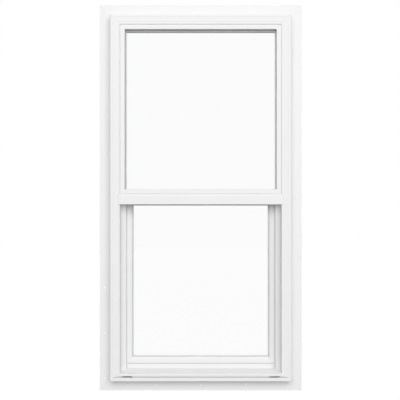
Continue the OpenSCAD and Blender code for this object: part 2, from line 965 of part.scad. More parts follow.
// One mitred indoor bead of the sash
module lower_bead(len) {
    lineal(len, -2 * snap_d, lower_bead_w + cut)
        translate([0, lower_bead_y]) bead_section(lower_bead_w, lower_bead_d);
}

module lower_bead_top() {
    color(vinyl) at_top(lower_bay_z1) lower_bead(lower_bay_w);
}

module lower_bead_bottom() {
    color(vinyl) at_bottom(lower_bay_z0) lower_bead(lower_bay_w);
}

module lower_bead_left() {
    color(vinyl) at_left(lower_bay_w / 2, lower_bead_mid) lower_bead(lower_bead_len);
}

module lower_bead_right() {
    color(vinyl) at_right(lower_bay_w / 2, lower_bead_mid) lower_bead(lower_bead_len);
}

// ---------- seals ----------

// Pile strip for a stile: a backing in the groove and a brush that stands proud
module pile_section(proud) {
    rect(pile_x0 + fit_gap, 0, pile_x1 - fit_gap, pile_deep - fit_gap);
    rect(pile_x0 + pile_shoulder, -proud, pile_x1 - pile_shoulder, pile_deep - fit_gap);
}

// A left front strip and a left rear strip
module pile_front() {
    at_left(sash_w / 2, sash_mid) bar(sash_h - 2 * pile_x1 - 4)
        translate([0, sash_y0]) pile_section(sash_y0 - leg_y1 - seal_gap);
}

module pile_rear() {
    at_left(sash_w / 2, sash_mid) bar(sash_h - 2 * pile_x1 - 4)
        translate([0, sash_y1]) mirror([0, 1]) pile_section(stop_y - sash_y1 - seal_gap);
}

module stile_pile_front_left() {
    color("gray") pile_front();
}

module stile_pile_front_right() {
    color("gray") mirror([1, 0, 0]) pile_front();
}

module stile_pile_rear_left() {
    color("gray") pile_rear();
}

module stile_pile_rear_right() {
    color("gray") mirror([1, 0, 0]) pile_rear();
}

// Bulb seal under the bottom rail
module sill_bulb_seal() {
    low = -track_drop + seal_gap;
    root = pile_deep - fit_gap;
    color("dimgray") at_bottom(sash_z0) bar(sash_w - 8) polygon([
        [root, bulb_y0 + fit_gap], [root, bulb_y1 - fit_gap], [0, bulb_y1 - fit_gap],
        [0, bulb_y1 - 1], [low * 0.6, bulb_y1 - 1.4], [low, bulb_y1 - 3],
        [low, bulb_y0 + 3], [low * 0.6, bulb_y0 + 1.4], [0, bulb_y0 + 1],
        [0, bulb_y0 + fit_gap]
    ]);
}

// ---------- lock ----------

module lock_base() {
    z0 = sash_z1;
    color("white") difference() {
        union() {
            block([-base_w / 2, base_y0, z0], [base_w / 2, base_y1, z0 + base_h]);
            for (x = [-base_w / 2, base_w / 2])
                translate([x, lock_screw_y, z0]) cylinder(h = base_h - ear_down, r = ear_r);
        }
        translate([0, pivot_y, cam_z - seal_gap]) cylinder(h = cam_t + 2 * seal_gap, r = cam_r + 0.5);
        translate([0, pivot_y, z0 + spindle_seat]) cylinder(h = base_h, r = spindle_r + run_gap);
        lock_screw_places() translate([0, 0, z0 - cut]) cylinder(h = base_h, r = small_screw_r + screw_gap);
        lock_screw_places() translate([0, 0, z0 + base_h - ear_down])
            cylinder(h = ear_down + cut, r = lock_head_r);
    }
}

// Cam plate: a segment that points indoors when unlocked, on a spindle with a square tang
module lock_cam() {
    color(steel) translate([0, pivot_y, 0]) {
        translate([0, 0, cam_z]) intersection() {
            cylinder(h = cam_t, r = cam_r);
            linear_extrude(cam_t) polygon([
                [0, -spindle_r - 2], [spindle_r + 2, 0],
                [cam_tip / 2, cam_r], [-cam_tip / 2, cam_r], [-spindle_r - 2, 0]
            ]);
        }
        translate([0, 0, sash_z1 + spindle_seat + 0.2])
            cylinder(h = base_h - spindle_seat - 0.2, r = spindle_r);
        translate([-tang_w / 2, -tang_w / 2, sash_z1 + base_h]) cube([tang_w, tang_w, tang_h]);
    }
}

// Lever: a hub on the tang, a tapering arm along the rail and a rounded finger tab
module lock_lever() {
    color("white") translate([0, pivot_y, lever_z]) difference() {
        union() {
            cylinder(h = hub_t, r = hub_r);
            linear_extrude(lever_t) polygon([
                [0, -6.5], [0, 6.5], [lever_end_r - lever_len, 4.6], [lever_end_r - lever_len, -4.6]
            ]);
            translate([lever_end_r - lever_len, 0, 0]) cylinder(h = lever_t, r = lever_end_r);
            translate([lever_end_r / 2 - lever_len, -5, lever_t]) cube([3, 10, 2]);
        }
        translate([-tang_w / 2, -tang_w / 2, -cut]) cube([tang_w, tang_w, tang_h - 0.2 + cut]);
    }
}

module lock_screws() {
    color(steel) lock_screw_places() translate([0, 0, sash_z1 + base_h - ear_down])
        pan_screw(18, small_screw_r, 2.9, 1.8);
}

// ---------- balances ----------

// A left bracket: a plate on the stile's edge with a foot that the spring ribbon hooks to
module bracket() {
    difference() {
        union() {
            block([-sash_w / 2 - bracket_t, pocket_mid - bracket_w / 2, bracket_z],
                [-sash_w / 2, pocket_mid + bracket_w / 2, bracket_z + bracket_h]);
            block([-ribbon_x - foot_past, pocket_mid - ribbon_w / 2 - 1, foot_z - foot_t],
                [-sash_w / 2, pocket_mid + ribbon_w / 2 + 1, foot_z]);
        }
        bracket_screw_places()
            rod_x(-sash_w / 2 - bracket_t - cut, -sash_w / 2 + cut, small_screw_r + screw_gap);
    }
}

module balance_bracket_left() {
    color(steel) bracket();
}

module balance_bracket_right() {
    color(steel) mirror([1, 0, 0]) bracket();
}

module bracket_screws() {
    color(steel) both_sides() bracket_screw_places() translate([-sash_w / 2 - bracket_t, 0, 0])
        rotate([0, -90, 0]) pan_screw(14, small_screw_r, 2.6, 1.4);
}

// A left cartridge: a case in the balance pocket with a hub for the coil, open where the ribbon leaves
module cartridge() {
    half = ribbon_w / 2 + coil_side;
    difference() {
        block([-cart_x1, pocket_y0 + fit_gap, cart_z], [-cart_x0, pocket_y1 - fit_gap, cart_z + cart_h]);
        difference() {
            translate([-coil_x, 0, coil_z]) rod_y(pocket_mid - half, pocket_mid + half, coil_r + coil_room);
            translate([-coil_x, 0, coil_z]) rod_y(pocket_y0, pocket_y1, coil_bore - run_gap);
        }
        block([-ribbon_x - ribbon_t - 1, pocket_mid - half, cart_z - cut],
            [-cart_x0 + cut, pocket_mid + half, coil_z]);
        translate([0, pocket_mid, cart_screw_z])
            rod_x(-cart_x1 - cut, -cart_x0 + cut, small_screw_r + screw_gap);
    }
}

module coil_housing_left() {
    color("lightgray") cartridge();
}

module coil_housing_right() {
    color("lightgray") mirror([1, 0, 0]) cartridge();
}

module coil_screws() {
    color(steel) both_sides() translate([-cart_x0, pocket_mid, cart_screw_z])
        rotate([0, 90, 0]) pan_screw(cart_x1 - cart_x0 + 4, small_screw_r, 2.4, 1.2);
}

module coil() {
    difference() {
        translate([-coil_x, 0, coil_z])
            rod_y(pocket_mid - ribbon_w / 2, pocket_mid + ribbon_w / 2, coil_r);
        translate([-coil_x, 0, coil_z]) rod_y(pocket_y0, pocket_y1, coil_bore);
    }
}

module coil_spring_left() {
    color("gray") coil();
}

module coil_spring_right() {
    color("gray") mirror([1, 0, 0]) coil();
}

module ribbon() {
    block([-ribbon_x - ribbon_t, pocket_mid - ribbon_w / 2, foot_z],
        [-ribbon_x, pocket_mid + ribbon_w / 2, coil_z]);
}

module spring_ribbon_left() {
    color("gray") ribbon();
}

module spring_ribbon_right() {
    color("gray") mirror([1, 0, 0]) ribbon();
}

// Blocks in the tracks that end the sash's travel
module sash_stops() {
    color("white") both_sides() {
        block([-bay_w / 2, sash_y0 + stop_in, stop_z],
            [-bay_w / 2 + side_gap + stop_side, sash_y1 - stop_in, stop_z + stop_h]);
        block([-bay_w / 2 - stop_deep, pocket_y0 + fit_gap, stop_z],
            [-bay_w / 2, pocket_y1 - fit_gap, stop_z + stop_h]);
    }
}

frame_head();
frame_sill();
frame_jamb_left();
frame_jamb_right();
meeting_rail();
meeting_rail_stiffener();
meeting_rail_screws();
meeting_rail_pile();
lock_keeper();
keeper_screws();
upper_outer_pane();
upper_inner_pane();
upper_spacer();
upper_edge_sealant();
upper_glazing_tape();
upper_bead_gasket();
upper_setting_blocks();
upper_bead_top();
upper_bead_bottom();
upper_bead_left();
upper_bead_right();
sash_top_rail();
sash_bottom_rail();
sash_stile_left();
sash_stile_right();
check_rail_stiffener();
lower_outer_pane();
lower_inner_pane();
lower_spacer();
lower_edge_sealant();
lower_glazing_tape();
lower_setting_blocks();
lower_bead_top();
lower_bead_bottom();
lower_bead_left();
lower_bead_right();
stile_pile_front_left();
stile_pile_front_right();
stile_pile_rear_left();
stile_pile_rear_right();
sill_bulb_seal();
lock_base();
lock_cam();
lock_lever();
lock_screws();
balance_bracket_left();
balance_bracket_right();
bracket_screws();
coil_housing_left();
coil_housing_right();
coil_screws();
coil_spring_left();
coil_spring_right();
spring_ribbon_left();
spring_ribbon_right();
sash_stops();
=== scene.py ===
# %% [markdown]
# # A white vinyl single-hung window
#
# The window is made of extruded vinyl lengths, mitred and welded at the corners, two sealed glass units,
# and a lower sash that slides on coiled springs. The construction model already holds every piece at its
# real size, so this notebook adds what a model for machining leaves out: finishes, weld seams, soft seals,
# wound springs and screw threads.

# %% Load the construction model
import json
import math

import bpy
import numpy as np
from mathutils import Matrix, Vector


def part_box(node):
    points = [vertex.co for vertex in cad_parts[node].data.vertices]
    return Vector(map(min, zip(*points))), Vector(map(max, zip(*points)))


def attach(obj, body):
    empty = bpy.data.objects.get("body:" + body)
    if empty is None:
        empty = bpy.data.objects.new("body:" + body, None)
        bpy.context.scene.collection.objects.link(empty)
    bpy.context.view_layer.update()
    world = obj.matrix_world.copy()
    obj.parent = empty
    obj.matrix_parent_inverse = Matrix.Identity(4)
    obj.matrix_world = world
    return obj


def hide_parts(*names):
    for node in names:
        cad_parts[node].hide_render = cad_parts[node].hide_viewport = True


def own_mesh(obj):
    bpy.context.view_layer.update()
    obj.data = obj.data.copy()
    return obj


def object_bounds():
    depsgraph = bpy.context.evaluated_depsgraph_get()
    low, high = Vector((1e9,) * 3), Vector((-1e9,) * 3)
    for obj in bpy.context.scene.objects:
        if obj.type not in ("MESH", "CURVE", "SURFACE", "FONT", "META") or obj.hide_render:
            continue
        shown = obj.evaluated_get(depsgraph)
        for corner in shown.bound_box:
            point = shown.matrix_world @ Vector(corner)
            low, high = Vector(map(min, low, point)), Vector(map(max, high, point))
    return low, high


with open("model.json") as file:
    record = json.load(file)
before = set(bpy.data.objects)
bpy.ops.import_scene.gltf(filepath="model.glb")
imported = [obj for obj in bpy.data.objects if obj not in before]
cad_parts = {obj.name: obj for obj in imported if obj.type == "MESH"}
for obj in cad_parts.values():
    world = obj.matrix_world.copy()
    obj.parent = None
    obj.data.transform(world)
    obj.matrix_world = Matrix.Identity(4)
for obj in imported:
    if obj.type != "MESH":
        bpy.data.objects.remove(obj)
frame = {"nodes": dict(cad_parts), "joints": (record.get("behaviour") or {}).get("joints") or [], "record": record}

cad_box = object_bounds()
print("pieces in the construction model:", len(frame["nodes"]))

# %% [markdown]
# ## Places
#
# Places and outer sizes are read from the construction model, so that the new pieces follow it when the
# window changes. Only fine details, such as the thickness of a fibre, are given as numbers here. A small
# function gives the low and high corner of a piece as numpy arrays.

# %% Read the main places
MM = 0.001


def box(node):
    """Low and high corner of a construction piece, as arrays in metres."""
    low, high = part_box(node)
    return np.array(low), np.array(high)


head_low, head_high = box("frame_head")
sill_low = box("frame_sill")[0]
sash_low = box("sash_bottom_rail")[0]
sash_high = box("sash_top_rail")[1]
face_y = head_low[1]
print("overall size in metres:", np.round(head_high - sill_low, 4))
print("outdoor face at y =", round(float(face_y), 4))

# %% [markdown]
# ## Camera
#
# The window is looked at square on from outdoors, from about two and a half metres. The optical axis passes
# a touch left of and below the window's middle, so the window stands just right of and above the middle of
# the view.

# %% Set the camera
VIEW_DISTANCE = 2.5
SENSOR_MM = 36.0
VIEW_WIDTH = 1.3124
AIM_X, AIM_Z = -0.0023, -0.0074

camera_data = bpy.data.cameras.new("view")
camera_data.sensor_width = SENSOR_MM
camera_data.lens = SENSOR_MM * VIEW_DISTANCE / VIEW_WIDTH
camera_data.clip_end = 50
camera = bpy.data.objects.new("view", camera_data)
camera.location = (AIM_X, face_y - VIEW_DISTANCE, AIM_Z)
camera.rotation_euler = (math.radians(90), 0, 0)
bpy.context.scene.collection.objects.link(camera)
bpy.context.scene.camera = camera
print("lens in millimetres:", round(camera_data.lens, 1))

# %% [markdown]
# ## Shader maths
#
# A material is a small program on sockets. Wrapping a socket in a class with overloaded operators lets that
# program be written as ordinary expressions, and one method adds any other node.


# %% Wrap sockets
class Wire:
    """A number coming out of a node. Arithmetic on it adds Math nodes."""

    def __init__(self, graph, socket):
        self.graph = graph
        self.socket = socket

    def _op(self, operation, first, second):
        return self.graph.node("ShaderNodeMath", {"operation": operation}, {0: first, 1: second})

    def __add__(self, other):
        return self._op("ADD", self, other)

    def __radd__(self, other):
        return self._op("ADD", other, self)

    def __sub__(self, other):
        return self._op("SUBTRACT", self, other)

    def __rsub__(self, other):
        return self._op("SUBTRACT", other, self)

    def __mul__(self, other):
        return self._op("MULTIPLY", self, other)

    def __rmul__(self, other):
        return self._op("MULTIPLY", other, self)

    def __lt__(self, other):
        return self._op("LESS_THAN", self, other)


class Graph:
    """The node tree of one new material, with its Principled shader already joined to the output."""

    def __init__(self, name):
        self.material = bpy.data.materials.new(name)
        self.material.use_nodes = True
        self.tree = self.material.node_tree
        self.tree.nodes.clear()
        self.output = self.tree.nodes.new("ShaderNodeOutputMaterial")
        self.shader = self.tree.nodes.new("ShaderNodeBsdfPrincipled")
        self.tree.links.new(self.shader.outputs[0], self.output.inputs[0])

    def feed(self, socket, value):
        """Joins a wire to a socket, or sets the socket's own value."""
        if isinstance(value, Wire):
            self.tree.links.new(value.socket, socket)
        elif value is not None:
            socket.default_value = value

    def node(self, kind, settings=None, inputs=None, out=0):
        """Adds a node: its settings first, then the values or wires of its sockets. Returns one output."""
        new = self.tree.nodes.new(kind)
        for name, value in (settings or {}).items():
            setattr(new, name, value)
        for name, value in (inputs or {}).items():
            self.feed(new.inputs[name], value)
        return Wire(self, new.outputs[out])

    def set(self, **values):
        """Values or wires of the Principled shader's sockets, with _ for a space."""
        for name, value in values.items():
            self.feed(self.shader.inputs[name.replace("_", " ")], value)

    def where(self, scale=(1, 1, 1)):
        """Object coordinates in metres, times a scale on each axis."""
        place = self.node("ShaderNodeTexCoord", out="Object")
        return self.node("ShaderNodeMapping", {}, {0: place, 3: scale})

    def noise(self, scale, detail=2.0, stretch=(1, 1, 1), rough=0.5):
        """Noise with `scale` lumps a metre, from 0 to 1."""
        return self.node("ShaderNodeTexNoise", {}, {
            "Vector": self.where(stretch), "Scale": scale, "Detail": detail, "Roughness": rough})

    def tint(self, factor, low, high):
        """A colour between two colours."""
        ends = {0: factor, 6: (*low, 1), 7: (*high, 1)}
        return self.node("ShaderNodeMix", {"data_type": "RGBA"}, ends, out=2)

    def bump(self, height, depth, strength=1.0, normal=None):
        """A normal from a height; `depth` is the height of a full step in metres."""
        return self.node("ShaderNodeBump", {}, {
            "Height": height, "Distance": depth, "Strength": strength, "Normal": normal})

    def bevel(self, radius, samples=6):
        """The normal of an edge rounded to a radius in metres."""
        return self.node("ShaderNodeBevel", {"samples": samples}, {"Radius": radius})


print("shader helpers ready")

# %% [markdown]
# ## White vinyl
#
# Extruded vinyl is a satin white with a soft sheen. Two things tell it from paint: the die draws faint
# lines along its length, and the skin has a shallow orange peel. A molten surface can't hold a knife edge
# either, so every edge is rounded by about a third of a millimetre. Stretching the noise along the length
# gives the die lines. The sash's bottom rail and the sill each carry one line of painted shade along them:
# a narrow band of the colour is darkened to stand for the shade in a groove. The groove could also be cut
# as real geometry, but a band needs no new mesh.


# %% Make the vinyl
VINYL_DULL = (0.765, 0.767, 0.765)
VINYL_CLEAN = (0.800, 0.801, 0.798)
DIE_LINES, DIE_STRETCH = 900, 0.02
CLOUDS = 7
PEEL = 1400
VINYL_RELIEF = 0.02 * MM
VINYL_EDGE = 0.35 * MM
# Painted shade: the dark colour, half width and heights of the band that stands for the shade in a groove.
SHADE_LINE_COLOUR = (0.42, 0.42, 0.42, 1)
SHADE_LINE_HALF = 1.1 * MM
RAIL_SHADE_LINE_UP = 17.0 * MM
SILL_SHADE_LINE_UP = 50.2 * MM


def vinyl(name, axis, shade_line_z=None):
    """Satin vinyl whose die lines run along axis 0, 1 or 2, and a band of painted groove shade at a height if one
    is given.
    """
    g = Graph(name)
    stretch = [1.0, 1.0, 1.0]
    stretch[axis] = DIE_STRETCH
    lines = g.noise(DIE_LINES, 2, stretch)
    cloud = g.noise(CLOUDS, 3)
    peel = g.noise(PEEL, 1)
    colour = g.tint(cloud * 0.6 + lines * 0.4, VINYL_DULL, VINYL_CLEAN)
    # Painted shade: the colour is darkened in a narrow band at one height, where a groove's shade would fall.
    if shade_line_z is not None:
        height = g.node("ShaderNodeSeparateXYZ", {}, {0: g.where()}, 2)
        off = g.node("ShaderNodeMath", {"operation": "ABSOLUTE"}, {0: height - shade_line_z})
        band = off < SHADE_LINE_HALF
        colour = g.node("ShaderNodeMix", {"data_type": "RGBA"}, {0: band, 6: colour, 7: SHADE_LINE_COLOUR}, 2)
    g.set(
        Base_Color=colour,
        Roughness=0.34 + 0.10 * lines + 0.06 * cloud,
        Specular_IOR_Level=0.35,
        Normal=g.bump(lines * 0.5 + peel, VINYL_RELIEF, 0.5, g.bevel(VINYL_EDGE)),
    )
    return g.material


vinyl_x = vinyl("vinyl_along_x", 0)
vinyl_z = vinyl("vinyl_along_z", 2)
# Painted shade lines: the sash's bottom rail and the sill get a darkened band standing for a groove's shade.
painted_shade = {
    "sash_bottom_rail": vinyl("vinyl_scored_rail", 0, float(sash_low[2]) + RAIL_SHADE_LINE_UP),
    "frame_sill": vinyl("vinyl_scored_sill", 0, float(sill_low[2]) + SILL_SHADE_LINE_UP),
}
print("vinyl for lengths that lie, lengths that stand and", len(painted_shade), "scored lengths")

# %% [markdown]
# ## Clear glass
#
# A pane seen square on only darkens what is behind it a little, and mirrors a few percent of what is in
# front. Mixing a clear shader with a mirror gives that, and lets the lamps through, which real refraction
# would need many more samples for. The mirror's share is Schlick's R = R0 + (1 - R0) (1 - cos)^5. A Fresnel
# node would do on one surface, but without refraction it takes the far face of a pane for a full mirror at
# steep angles.


# %% Make the glass
GLASS_TINT = (0.990, 0.992, 0.991, 1)
MIRROR_STRAIGHT = 0.04


def clear_glass():
    """Clear float glass: see-through, with a mirror that grows towards grazing angles."""
    g = Graph("clear_glass")
    g.tree.nodes.remove(g.shader)
    clear = g.node("ShaderNodeBsdfTransparent", {}, {"Color": GLASS_TINT})
    mirror = g.node("ShaderNodeBsdfGlossy", {}, {"Color": (1, 1, 1, 1), "Roughness": 0.0})
    facing = g.node("ShaderNodeLayerWeight", {}, {"Blend": 0.5}, 1)
    grazing = (facing * facing) * (facing * facing) * facing
    share = MIRROR_STRAIGHT + (1 - MIRROR_STRAIGHT) * grazing
    mixed = g.node("ShaderNodeMixShader", {}, {0: share, 1: clear, 2: mirror})
    g.tree.links.new(mixed.socket, g.output.inputs[0])
    return g.material


glass = clear_glass()
print("glass ready")

# %% [markdown]
# ## Metals, rubber and pile
#
# The small pieces each get their own finish: zinc plate has a faint spangle, spring strip has rolling
# lines, the spacer bar is lacquered white and pricked with holes, nylon is matt with a grain, foam tape is
# pitted and pile is a row of fibres. All are made of noise on the object's own coordinates, so that
# nothing has to be unwrapped.


# %% Make the small finishes
HOLE_STEP = 3 * MM
HOLE_SHARE = 0.13


def zinc(name, light=0.68):
    """Zinc plate: bright, with a soft spangle."""
    g = Graph(name)
    spangle = g.noise(350, 3)
    dull = (light - 0.07, light - 0.06, light - 0.05)
    bright = (light + 0.05, light + 0.05, light + 0.04)
    g.set(
        Base_Color=g.tint(spangle, dull, bright),
        Metallic=1.0,
        Roughness=0.28 + 0.22 * spangle,
        Normal=g.bump(spangle, 0.03 * MM, 0.5, g.bevel(0.2 * MM)),
    )
    return g.material


def perforated():
    """Spacer bar: white lacquered strip with a row of small holes every three millimetres."""
    g = Graph("spacer_bar")
    place = g.where((1 / HOLE_STEP, 1 / HOLE_STEP, 1 / HOLE_STEP))
    apart = g.node("ShaderNodeSeparateXYZ", {}, {0: place})
    along_x = g.node("ShaderNodeMath", {"operation": "PINGPONG"}, {0: apart, 1: 0.5})
    hole = (along_x < HOLE_SHARE) * 0.5
    rolled = g.noise(900, 2, (0.05, 1, 0.05))
    g.set(
        Base_Color=g.tint(rolled * 0.5 + hole, (0.80, 0.80, 0.80), (0.60, 0.60, 0.60)),
        Roughness=0.45 + 0.16 * rolled,
    )
    return g.material


def spring_strip():
    """Rolled spring strip: dark steel with lines along its length."""
    g = Graph("spring_strip")
    rolled = g.noise(2500, 2, (1, 1, 0.01))
    g.set(
        Base_Color=g.tint(rolled, (0.30, 0.30, 0.31), (0.46, 0.46, 0.47)),
        Metallic=1.0,
        Roughness=0.25 + 0.2 * rolled,
    )
    return g.material


def moulded(name, colour, roughness=0.45, grain=900, depth=0.04 * MM):
    """Moulded plastic or rubber with an even grain."""
    g = Graph(name)
    pits = g.noise(grain, 2)
    cloud = g.noise(25, 2)
    low = tuple(c * 0.93 for c in colour)
    g.set(
        Base_Color=g.tint(cloud, low, colour),
        Roughness=roughness + 0.12 * pits,
        Normal=g.bump(pits, depth, 0.6, g.bevel(0.3 * MM)),
    )
    return g.material


def fibres():
    """Woven pile: grey fibres that stand across the strip."""
    g = Graph("grey_pile")
    hair = g.noise(3500, 1, (1, 0.05, 1))
    g.set(
        Base_Color=g.tint(hair, (0.20, 0.20, 0.21), (0.50, 0.50, 0.51)),
        Roughness=0.9,
        Normal=g.bump(hair, 0.3 * MM, 0.8),
    )
    return g.material


materials = {
    "clear_glass": glass,
    "grey_gasket": moulded("grey_gasket", (0.14, 0.14, 0.145), 0.5),
    "black_sealant": moulded("black_sealant", (0.035, 0.035, 0.035), 0.6, 300, 0.2 * MM),
    "glazing_tape": moulded("glazing_tape", (0.60, 0.60, 0.59), 0.8, 1200, 0.2 * MM),
    "black_rubber": moulded("black_rubber", (0.04, 0.04, 0.04), 0.6),
    "grey_pile": fibres(),
    "spacer_bar": perforated(),
    "mill_aluminium": zinc("mill_aluminium", 0.72),
    "plated_steel": zinc("plated_steel"),
    "spring_steel": spring_strip(),
    "white_enamel": moulded("white_enamel", (0.87, 0.87, 0.86), 0.22, 500, 0.01 * MM),
    "white_nylon": moulded("white_nylon", (0.84, 0.84, 0.82)),
    "grey_nylon": moulded("grey_nylon", (0.55, 0.56, 0.57)),
}
print("finishes:", ", ".join(sorted(materials)))

# %% [markdown]
# ## Finish every construction piece
#
# Each piece names its material in the record. A vinyl length also needs to know which way it was extruded,
# and its box tells: it is long in X or long in Z.

# %% Assign the finishes
for part in frame["record"]["subparts"]:
    node, slot = part["node"], part["material_slot"]
    low, high = box(node)
    if node in painted_shade:
        chosen = painted_shade[node]
    elif slot == "white_vinyl":
        chosen = vinyl_z if high[2] - low[2] > high[0] - low[0] else vinyl_x
    else:
        chosen = materials[slot]
    data = frame["nodes"][node].data
    data.materials.clear()
    data.materials.append(chosen)

# %% [markdown]
# ## Surfaces from numpy
#
# Every new piece is made of parametric surfaces: a grid of points whose rows follow a path and whose
# columns go round a section. One class gathers grids, turns each closed one right side out by the sign of
# its volume, and makes the object. The signed volume of a closed surface is a sixth of the sum of a . (b x
# c) over its triangles.


# %% Gather grids into one object
class Surface:
    """Points and faces of one new piece."""

    def __init__(self):
        self.points = []
        self.faces = []
        self.count = 0

    def grid(self, points, rows_close=False, columns_close=False, caps=False):
        """Adds a grid of points (rows, columns, 3). Closing joins the last row or column to the first."""
        rows, columns = points.shape[:2]
        number = np.arange(rows * columns).reshape(rows, columns)
        if rows_close:
            number = np.concatenate([number, number[:1]], 0)
        if columns_close:
            number = np.concatenate([number, number[:, :1]], 1)
        around = [number[:-1, :-1], number[:-1, 1:], number[1:, 1:], number[1:, :-1]]
        faces = np.stack(around, -1).reshape(-1, 4)
        flat = points.reshape(-1, 3)
        first, second, third, fourth = (flat[faces[:, i]] for i in range(4))
        volume = (first * np.cross(second, third)).sum() + (first * np.cross(third, fourth)).sum()
        lists = faces.tolist()
        if caps:
            lists += [number[0, :columns][::-1].tolist(), number[rows - 1, :columns].tolist()]
            for ring, sign in ((points[0], -1), (points[-1], 1)):
                middle = ring.mean(0)
                volume += sign * (middle * np.cross(ring, np.roll(ring, -1, 0))).sum()
        closed = caps or (rows_close and columns_close)
        if closed and volume < 0:
            lists = [face[::-1] for face in lists]
        self.add(flat, lists)

    def add(self, points, faces):
        """Adds ready points and faces."""
        self.points.append(np.asarray(points, float))
        self.faces += [[corner + self.count for corner in face] for face in faces]
        self.count += len(points)

    def make(self, name, material, sharp_degrees=38):
        """Makes the object, smooth but for edges that turn by more than an angle."""
        mesh = bpy.data.meshes.new(name)
        mesh.from_pydata(np.concatenate(self.points).tolist(), [], self.faces)
        mesh.materials.append(material)
        mesh.shade_smooth()
        mesh.set_sharp_from_angle(angle=math.radians(sharp_degrees))
        mesh.update()
        made = bpy.data.objects.new(name, mesh)
        bpy.context.scene.collection.objects.link(made)
        return made


def arc(centre, radius, start, end, steps):
    """Points on an arc in a plane: centre + radius (cos a, sin a), angles in degrees."""
    a = np.radians(np.linspace(start, end, steps))
    return np.stack([centre[0] + radius * np.cos(a), centre[1] + radius * np.sin(a)], -1)


def round_rect(low, high, radius, steps=4):
    """Outline of a rectangle with round corners, anticlockwise."""
    (x0, y0), (x1, y1) = low, high
    return np.concatenate([
        arc((x1 - radius, y1 - radius), radius, 0, 90, steps),
        arc((x0 + radius, y1 - radius), radius, 90, 180, steps),
        arc((x0 + radius, y0 + radius), radius, 180, 270, steps),
        arc((x1 - radius, y0 + radius), radius, 270, 360, steps),
    ])


def along(axis, places, outline):
    """Rows of an outline (columns, 2) at places along an axis; its numbers fill the other axes in order."""
    points = np.empty((len(places), len(outline), 3))
    others = [i for i in range(3) if i != axis]
    points[..., axis] = np.asarray(places)[:, None]
    points[..., others[0]] = outline[None, :, 0]
    points[..., others[1]] = outline[None, :, 1]
    return points


def hand_over(surface, name, slot, body, *nodes, material=None):
    """Makes a piece that rides on a body and stands for construction pieces."""
    made = surface.make(name, material or materials[slot])
    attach(made, body)
    if nodes:
        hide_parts(*nodes)
    return made


print("surface helpers ready")

# %% [markdown]
# ## Soft lip round the upper glass
#
# The beads of the upper glass press a soft lip on the pane. It is extruded, so one section goes round the
# opening: a flat foot under the beads and a rounded edge that shows. The section's points are (u, y), u
# inwards from the lip's outer edge, and at each corner of the opening the rectangle shrinks by u on both
# sides, which mitres the section.


# %% Make the lip
def gasket_section(width, y0, y1):
    """Flat foot, then a round edge that leans on the glass."""
    middle, half = (y0 + y1) / 2, (y1 - y0) / 2
    edge = arc((width - half, middle), half, -90, 90, 9)
    foot = np.array([[0.0, y1], [0.0, y0]])
    return np.concatenate([edge, foot])


gasket_low, gasket_high = box("upper_bead_gasket")
GASKET_WIDTH = 5.4 * MM
section = gasket_section(GASKET_WIDTH, gasket_low[1], gasket_high[1])
corners = [(gasket_low[0], gasket_low[2], 1, 1), (gasket_high[0], gasket_low[2], -1, 1),
           (gasket_high[0], gasket_high[2], -1, -1), (gasket_low[0], gasket_high[2], 1, -1)]
loop = np.array([[[x + sx * u, y, z + sz * u] for u, y in section] for x, z, sx, sz in corners])
lip = Surface()
lip.grid(loop, rows_close=True, columns_close=True)
hand_over(lip, "bead_lip", "grey_gasket", "frame", "upper_bead_gasket")
print("lip round the upper glass:", lip.count, "points")

# %% [markdown]
# ## Coiled springs and their ribbons
#
# Each balance is a steel ribbon rolled on itself. A roll of a strip is an Archimedean spiral: with a pitch
# p a turn, the radius is r(a) = r0 + p a / 2 pi. The ribbon leaves the coil at its side nearest the sash
# and hangs down to the bracket's foot. The spiral starts where it leaves, so that the two meet. A strip is
# cupped a little across its width, which is what makes it stand straight.

# %% Wind the coils
COIL_PITCH = 0.47 * MM
STRIP = 0.34 * MM
TURN_STEPS = 40


def spiral(centre, y0, y1, outer, inner, side):
    """A strip rolled between two radii about the Y axis; side is -1 on the left and 1 on the right."""
    turns = (outer - inner) / COIL_PITCH
    a = np.linspace(0, 2 * math.pi * turns, int(TURN_STEPS * turns))
    radius = outer - STRIP / 2 - COIL_PITCH * a / (2 * math.pi)
    out = np.stack([-side * np.cos(a), np.zeros_like(a), np.sin(a)], -1)
    middle = np.array([centre[0], 0, centre[1]]) + out * radius[:, None]
    outline = round_rect((-STRIP / 2, y0), (STRIP / 2, y1), 0.12 * MM, 2)
    points = middle[:, None, :] + out[:, None, :] * outline[None, :, :1]
    points[..., 1] = outline[None, :, 1]
    coil = Surface()
    coil.grid(points, columns_close=True, caps=True)
    return coil


def ribbon(low, high, side):
    """A cupped strip between two corners: across its width the face bows by part of the depth it is given."""
    (x0, y0, z0), (x1, y1, z1) = low, high
    across = np.linspace(-1, 1, 9)
    bow = (x1 - x0) * 0.4 * (1 - across**2)
    y = (y0 + y1) / 2 + across * (y1 - y0) / 2
    near = x0 if side > 0 else x1
    front = np.stack([near + side * bow, y], -1)
    back = np.stack([near + side * (bow + (x1 - x0) * 0.5), y], -1)[::-1]
    outline = np.concatenate([front, back])
    strip = Surface()
    strip.grid(along(2, np.linspace(z0, z1, 60), outline), columns_close=True, caps=True)
    return strip


